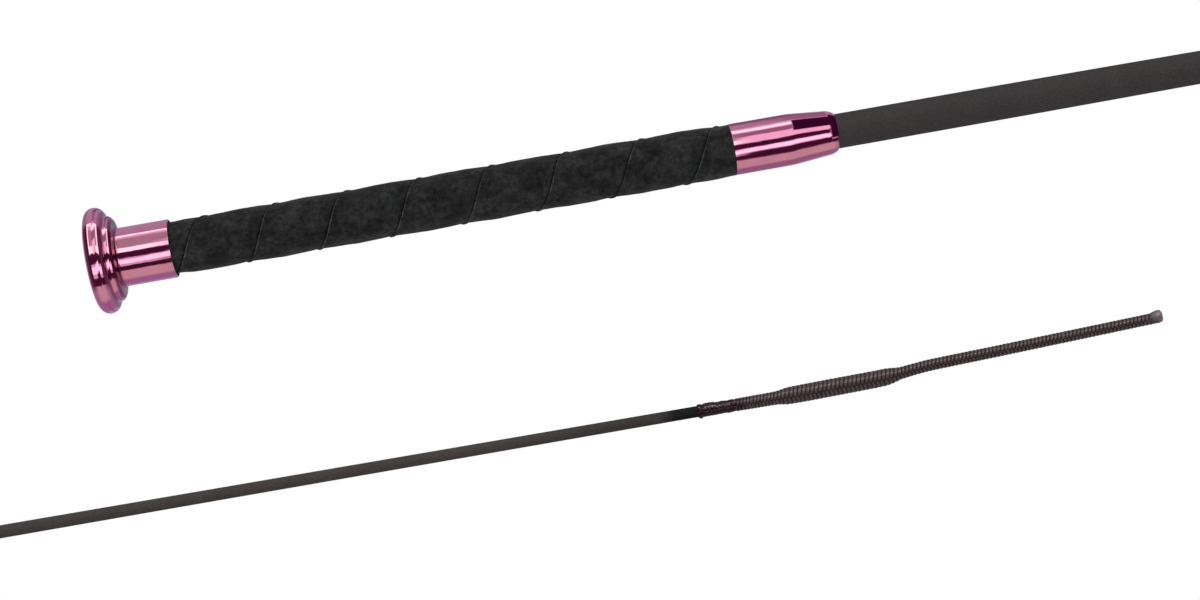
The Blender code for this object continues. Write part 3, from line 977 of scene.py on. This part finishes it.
def braided_cord():
    tree = new_material("braided_cord")
    rest = tree.rest()
    lean = tree.plus(tree.attribute("spread")["Fac"], tree.times(tree.attribute("run")["Fac"], 0.10))
    filament = tree.math("SINE", tree.times(lean, math.tau / FILAMENT_SPACING))
    fuzz = tree.noise(rest, 0.30 * MM, 3.0, 0.65)
    slub = tree.noise(rest, 1.8 * MM, 2.0)
    own = tree.math("SINE", tree.times(tree.attribute("shade")["Fac"], 2.4))
    open_to_light = tree.attribute("open")["Fac"]
    # Painted shade: the colour darkens at a strand's sides and where it goes under, by how open each point is
    # to the light
    shade = tree.times(
        tree.plus(tree.plus(1.0, tree.times(filament, 0.14)), tree.times(own, 0.05)),
        tree.smooth(fuzz, 0.28, 0.72, 0.80, 1.25),
        tree.smooth(slub, 0.3, 0.7, 0.88, 1.14),
        tree.smooth(open_to_light, 0.05, 0.95, 0.30, 1.75),
    )
    x, _, _ = tree.parts(rest)
    soaked = tree.plus(x, tree.times(fuzz, -1.5 * MM))
    binding_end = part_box("binding")[1].x
    stain = tree.smooth(soaked, binding_end + 0.8 * MM, binding_end + 3.4 * MM)
    base = tree.mix(stain, (0.018, 0.009, 0.012), (0.0368, 0.0244, 0.0252))
    return tree.surface(
        Base_Color=tree.scale_colour(base, shade),
        Roughness=0.30,
        Specular_IOR_Level=tree.smooth(open_to_light, 0.45, 0.98, 0.04, 0.40),
        Specular_Tint=(1.0, 0.90, 0.86),
        Normal=tree.bump(tree.plus(filament, fuzz), 0.012 * MM),
    )


def core_yarn():
    tree = new_material("core_yarn")
    rest = tree.rest()
    x, angle = round_angle(tree, rest)
    twist = tree.plus(tree.times(x, 900.0), tree.times(angle, 6.0))
    rib = tree.math("SINE", twist)
    colour = tree.scale_colour((0.030, 0.024, 0.024), tree.plus(1.0, tree.times(rib, 0.2)))
    return tree.surface(Base_Color=colour, Roughness=0.85, Normal=tree.bump(rib, 0.03 * MM))


def melted_cord():
    tree = new_material("melted_cord")
    rest = tree.rest()
    x, _, _ = tree.parts(rest)
    end_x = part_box("lash_fused_end")[1].x
    melted = tree.smooth(x, end_x - 3.2 * MM, end_x - 0.4 * MM)
    blob = tree.noise(rest, 0.9 * MM, 3.0)
    fine = tree.noise(rest, 0.25 * MM, 3.0)
    raw = tree.scale_colour((0.060, 0.044, 0.046), tree.smooth(fine, 0.3, 0.7, 0.75, 1.25))
    glazed = tree.scale_colour((0.126, 0.088, 0.094), tree.smooth(blob, 0.3, 0.7, 0.72, 1.30))
    return tree.surface(
        Base_Color=tree.mix(melted, raw, glazed),
        Roughness=tree.smooth(melted, 0.0, 1.0, 0.65, 0.40),
        Normal=tree.bump(tree.plus(blob, fine), 0.10 * MM),
    )


# The CAD pieces inside: material, colour, roughness, grain's size and stretch, depth of its bumps, metallic
INNER_FINISHES = {
    "rod": ("pale_fibreglass", (0.70, 0.68, 0.55), 0.4, 0.4 * MM, (0.03, 1, 1), 0.01 * MM, 0.0),
    "handle_sleeve": ("natural_sleeve", (0.55, 0.52, 0.45), 0.55, 0.8 * MM, (1, 1, 1), 0.01 * MM, 0.0),
    "grip_padding": ("grey_felt", (0.20, 0.20, 0.21), 1.0, 0.5 * MM, (1, 1, 1), 0.10 * MM, 0.0),
    "rod_tip_cap": ("brass", (0.7, 0.5, 0.2), 0.35, 0.2 * MM, (1, 0.05, 0.05), 0.01 * MM, 1.0),
}


def inner_material(name, colour, roughness, size, stretch, depth, metallic):
    """A material for a CAD piece inside the crop. Its grain shows glass fibres, felt or turning."""
    tree = new_material(name)
    place = tree.node("TexCoord").outputs["Object"]
    grain = tree.noise(tree.stretch(place, stretch), size, 4.0, 0.6)
    return tree.surface(
        Base_Color=tree.scale_colour(colour, tree.smooth(grain, 0.25, 0.75, 0.78, 1.20)),
        Roughness=tree.smooth(grain, 0.3, 0.7, roughness * 0.85, roughness),
        Metallic=metallic,
        Normal=tree.bump(grain, depth),
    )


def dress_inner_nodes(nodes):
    for node, finish in INNER_FINISHES.items():
        material = inner_material(*finish)
        for slot in nodes[node].material_slots:
            slot.material = material


# ---------- Studio ----------


# What polished metal mirrors: tones of the studio's lamps, cards and dark gaps
TONES = {
    "violet": (0.37, 0.36, 0.47),
    "lilac": (0.47, 0.50, 0.62),
    "plum": (0.33, 0.25, 0.38),
    "grape": (0.29, 0.22, 0.31),
    "wine": (0.21, 0.13, 0.22),
    "mauve": (0.43, 0.40, 0.46),
    "line": (1.60, 2.00, 1.65),
    "half": (0.72, 0.72, 0.72),
    "dull": (0.41, 0.39, 0.38),
    "rust": (0.31, 0.23, 0.29),
    "black": (0.055, 0.010, 0.040),
    "lamp": (1.60, 1.65, 1.60),
    "salmon": (0.56, 0.54, 0.48),
    "shade": (0.22, 0.16, 0.20),
    "dusk": (0.11, 0.05, 0.10),
    "rose": (1.00, 0.95, 1.00),
}
# Each tone up to an angle round the crop's axis, with the softness of its end, in degrees: -90 is straight
# up, 0 is the front, 90 is straight down. The handle's end and the ferrule look at the studio's two halves.
LEFT_STUDIO = (
    (-140, "violet", 14.0),
    (-88, "mauve", 1.0),
    (-80, "line", 0.8),
    (-71, "half", 1.5),
    (-32, "dull", 1.5),
    (-16, "line", 0.8),
    (8, "black", 0.8),
    (14, "half", 0.8),
    (29, "lamp", 0.8),
    (38, "half", 0.8),
    (57, "black", 0.8),
    (100, "salmon", 6.0),
    (146, "plum", 8.0),
    (180, "lilac", 1.0),
)
RIGHT_STUDIO = (
    (-125, "wine", 9.0),
    (-91, "mauve", 1.0),
    (-82, "half", 0.8),
    (-69, "line", 0.8),
    (-64, "half", 0.8),
    (-44, "rust", 1.5),
    (-13, "rose", 0.8),
    (7, "black", 0.8),
    (10, "half", 0.8),
    (26, "lamp", 0.8),
    (30, "half", 0.8),
    (57, "black", 0.8),
    (61, "shade", 0.8),
    (104, "salmon", 6.0),
    (180, "grape", 1.0),
)
# How far the lamps reach sideways, and how far the ferrule's own part of the studio does, as the lean of
# the surfaces that mirror them
LAMPS_LEFT_END = -0.42
LAMPS_RIGHT_END = 0.53
LAMP_FRAME = 0.10
FERRULE_LEAN = 0.30
# The strips before the ferrule aren't quite level: where its straight part ends, and how fast they climb
FERRULE_STRAIGHT_LEAN = 0.065
FERRULE_SKEW = 0.09


def studio_place(degrees):
    """The ramp place, from 0 to 1, of an angle round the crop's axis in the studio's lists."""
    return degrees / 360.0 + 0.5


def studio_stops(tones):
    """Ramp stops for a list of tones: each holds to its angle, then changes over its soft edge."""
    stops, colour = [], TONES[tones[0][1]]
    for (place, _, soft), (_, following, _) in zip(tones, tones[1:]):
        stops.append((studio_place(place - soft), colour))
        colour = TONES[following]
        stops.append((studio_place(place + soft), colour))
    return stops


def mirror_place(tree, direction):
    """Which surface, seen from the front, mirrors a direction.

    The first value is twice its angle round the X axis, as a ramp place from 0 (up) to 1 (down). The second
    is how far its normal leans sideways.
    """
    x, y, z = tree.parts(direction)
    toward = tree.math("MAXIMUM", tree.minus(1.0, y), 0.001)
    angle = tree.times(tree.math("ARCTAN2", tree.times(z, -1.0), toward), 2.0)
    lean = tree.math("DIVIDE", x, tree.math("SQRT", tree.times(toward, 2.0)))
    return tree.plus(tree.math("DIVIDE", angle, math.tau), 0.5), lean


def make_mirrored_studio(tree):
    """The colour that polished surfaces mirror, by direction."""
    place, lean = mirror_place(tree, tree.node("TexCoord").outputs["Generated"])
    left = tree.ramp(place, studio_stops(LEFT_STUDIO))
    past_straight = tree.math("MAXIMUM", tree.minus(lean, FERRULE_STRAIGHT_LEAN), 0.0)
    askew = tree.times(past_straight, FERRULE_SKEW)
    right = tree.ramp(tree.plus(place, askew), studio_stops(RIGHT_STUDIO))
    # Above the lamps it gets darker to the right
    overhead = tree.smooth(place, studio_place(-98), studio_place(-90), 0.6, 0.0)
    dim = tree.times(overhead, tree.smooth(lean, 0.07, 0.15))
    right = tree.mix(dim, right, TONES["wine"])
    room = tree.mix(tree.between(lean, 0.0, FERRULE_LEAN, 0.02), left, right)
    # Beyond the lamps' ends: dark in front, plum above and below, and a paler wall right at the side
    front = tree.between(place, studio_place(-88), studio_place(62), 0.03)
    side = tree.math("ABSOLUTE", lean)
    dark = tree.mix(tree.smooth(side, 0.55, 0.68), TONES["black"], TONES["dusk"])
    flank = tree.mix(front, TONES["plum"], dark)
    flank = tree.mix(tree.smooth(side, 0.84, 0.90), flank, TONES["violet"])
    crisp = tree.between(lean, LAMPS_LEFT_END, LAMPS_RIGHT_END, 0.02)
    faint = tree.between(lean, LAMPS_LEFT_END, LAMPS_RIGHT_END, 0.25)
    lit = tree.mix(tree.smooth(place, studio_place(52), studio_place(60)), crisp, faint)
    # A thin bright frame round the big upper lamp
    within = tree.between(lean, LAMPS_LEFT_END + LAMP_FRAME, LAMPS_RIGHT_END - LAMP_FRAME, 0.02)
    level = tree.between(place, studio_place(-80), studio_place(-14), 0.01)
    edge = tree.times(tree.minus(1.0, within), level)
    return tree.mix(lit, flank, tree.mix(edge, room, TONES["line"]))


def make_world():
    world = bpy.data.worlds.new("studio")
    bpy.context.scene.world = world
    world.use_nodes = True
    world.cycles.sampling_method = "NONE"
    tree = Tree(world.node_tree)
    background = world.node_tree.nodes["Background"]
    rays = tree.node("LightPath").outputs
    _, _, z = tree.parts(tree.node("TexCoord").outputs["Generated"])
    dome = tree.scale_colour((1.0, 1.0, 1.0), tree.plus(1.0, tree.times(z, 0.30)))
    colour = tree.mix(rays["Is Glossy Ray"], dome, make_mirrored_studio(tree))
    colour = tree.mix(rays["Is Camera Ray"], colour, (1.0, 1.0, 1.0))
    tree.feed(background.inputs["Color"], colour)


def make_key_lamp():
    """A soft lamp high in front, for highlights on all but the polished metal, which mirrors the studio."""
    data = bpy.data.lights.new("key_lamp", "SUN")
    data.energy = KEY_STRENGTH
    data.angle = math.radians(KEY_SIZE_DEG)
    lamp = add_object("key_lamp", data)
    lamp.rotation_euler = (math.radians(90.0 - KEY_HEIGHT_DEG), 0.0, math.radians(-KEY_TURN_DEG))
    lit = bpy.data.collections.new("lit_by_key_lamp")
    for item in bpy.context.scene.objects:
        is_metal = item.name in ("turned_end_cap", "turned_ferrule")
        if item.type in ("MESH", "EMPTY") and not is_metal:
            lit.objects.link(item)
    lamp.light_linking.receiver_collection = lit
    lamp.visible_diffuse = False
    lamp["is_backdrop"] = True


def make_floor(low, high):
    """A plain pale floor. It clears towards the horizon, so that a level view shows only the white ground."""
    bpy.ops.mesh.primitive_plane_add(size=FLOOR_SIZE)
    floor = bpy.context.object
    floor.name = "studio_floor"
    floor.location = (0.5 * (low.x + high.x), 0.0, -FLOOR_DROP)
    floor.visible_glossy = False
    tree = new_material("pale_floor")
    floor.data.materials.append(tree.surface(Base_Color=FLOOR_GREY, Roughness=0.9, Specular_IOR_Level=0.0))
    nodes = tree.tree.nodes
    _, _, slope = tree.parts(tree.node("NewGeometry").outputs["Incoming"])
    clear = tree.node("BsdfTransparent").outputs[0]
    pale = nodes["Principled BSDF"].outputs[0]
    blend = tree.node("MixShader", {0: tree.smooth(slope, 0.17, 0.24), 1: clear, 2: pale})
    tree.feed(nodes["Material Output"].inputs["Surface"], blend.outputs[0])
    floor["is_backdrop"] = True


def camera_axes():
    """Right, up and ahead of the rolled camera."""
    turn, roll = math.radians(CAMERA_TURN_DEG), math.radians(CAMERA_ROLL_DEG)
    ahead = Vector((math.sin(turn), math.cos(turn), 0.0))
    level_right = Vector((math.cos(turn), -math.sin(turn), 0.0))
    straight_up = Vector((0.0, 0.0, 1.0))
    right = math.cos(roll) * level_right - math.sin(roll) * straight_up
    up = math.sin(roll) * level_right + math.cos(roll) * straight_up
    return right, up, ahead


def placed(columns, origin):
    """A 4x4 matrix from three direction columns and an origin."""
    matrix = Matrix(columns).transposed().to_4x4()
    matrix.translation = origin
    return matrix


def make_camera():
    data = bpy.data.cameras.new("camera")
    data.lens = CAMERA_LENS_MM
    data.sensor_width = CAMERA_SENSOR_MM
    data.clip_start = 0.01
    data.clip_end = CAMERA_CLIP_END
    camera = add_object("camera", data)
    right, up, ahead = camera_axes()
    camera.matrix_world = placed((right, up, -ahead), CAMERA_PLACE)
    bpy.context.scene.camera = camera


def far_copy():
    """Shows the crop's thin end in the lower part of the picture, beside its handle.

    An empty shows the whole crop a second time, posed alike. It is enlarged about the camera, which changes
    nothing in the camera's picture but puts it far away, out of reach of the views from round about. It is
    part of the picture's layout and not of the crop, so it is marked as stage.
    """
    group = bpy.data.collections.new("crop")
    for item in list(bpy.context.scene.objects):
        if item.type == "MESH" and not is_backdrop(item) and not item.hide_render:
            group.objects.link(item)
    right, up, ahead = camera_axes()
    slope = math.radians(COPY_SLOPE_DEG)
    along = math.cos(slope) * right + math.sin(slope) * up
    across = -math.sin(slope) * right + math.cos(slope) * up
    near = COPY_RIGHT * right + COPY_UP * up + COPY_AHEAD * ahead
    turn = placed((along, ahead, across), Vector())
    anchor = Vector((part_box("binding")[0].x, 0.0, 0.0))
    origin = CAMERA_PLACE + COPY_SCALE * (near - turn @ anchor)
    shown = add_object("thin_end_shown_below", None)
    shown.instance_type = "COLLECTION"
    shown.instance_collection = group
    shown.matrix_world = Matrix.Translation(origin) @ turn @ Matrix.Scale(COPY_SCALE, 4)
    shown[COPY_SCALE_PROPERTY] = COPY_SCALE
    shown.visible_glossy = False
    shown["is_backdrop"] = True


# ---------- The scene ----------


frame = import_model()
cad_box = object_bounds()

metal = anodised_metal()
make_end_cap(metal)
make_ferrule(metal)
make_grip_strip(suede())
make_shaft(woven_cover())
make_binding(lacquered_thread())
make_lash(frame, {"cord": braided_cord(), "core": core_yarn(), "melted": melted_cord()})
dress_inner_nodes(frame["nodes"])

make_world()
make_floor(*cad_box)
make_camera()
far_copy()
make_key_lamp()
bpy.context.scene.view_settings.view_transform = "Standard"
